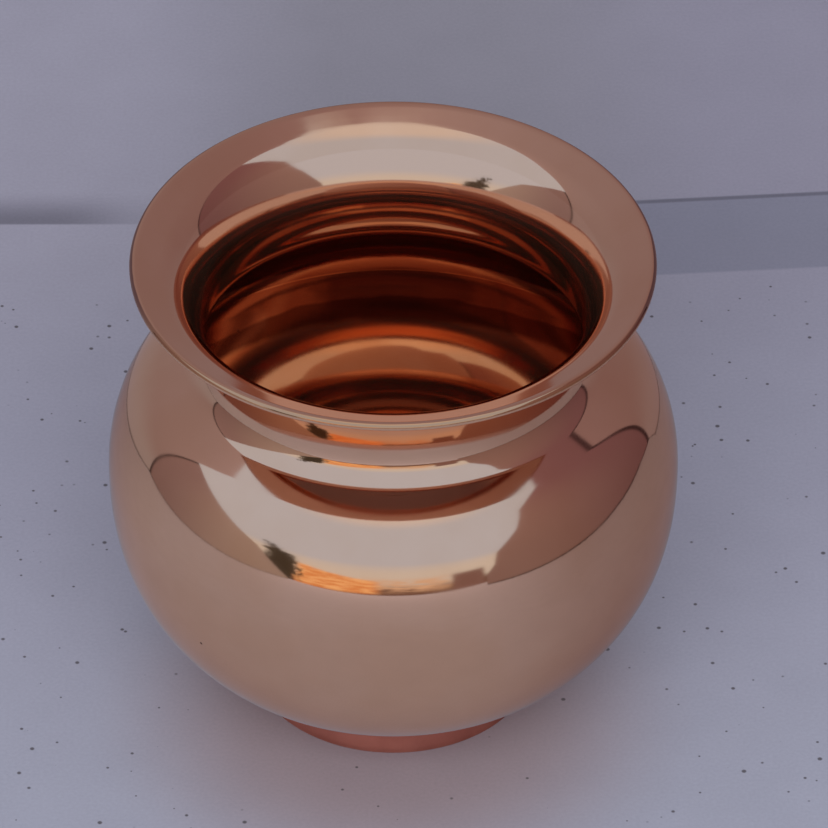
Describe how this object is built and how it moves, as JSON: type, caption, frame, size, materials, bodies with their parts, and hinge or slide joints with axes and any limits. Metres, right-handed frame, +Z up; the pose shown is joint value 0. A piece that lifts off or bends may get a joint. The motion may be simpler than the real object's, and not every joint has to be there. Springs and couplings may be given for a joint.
{
  "type": "copper lota water pot",
  "caption": "Round copper water pot with a full belly, a short drawn-in neck, a wide flared lip with a folded edge and a low foot ring, for holding and pouring water.",
  "frame": {"origin": "centre of the face that the foot ring rests on", "axes": "+Z up along the pot's axis, from the foot ring to the lip; X and Y lie in the resting face, and the pot is round, so their turn about Z is free"},
  "size_m": [0.111, 0.111, 0.1013],
  "materials": {
    "polished_copper": "mirror-polished copper sheet",
    "foot_copper": "satin copper, redder and less polished",
    "braze_alloy": "dressed brazing alloy"
  },
  "bodies": {
    "root": {"lower_bowl": "polished_copper", "upper_shell": "polished_copper", "belly_braze": "braze_alloy", "foot_ring": "foot_copper", "foot_braze": "braze_alloy"}
  },
  "joints": []
}
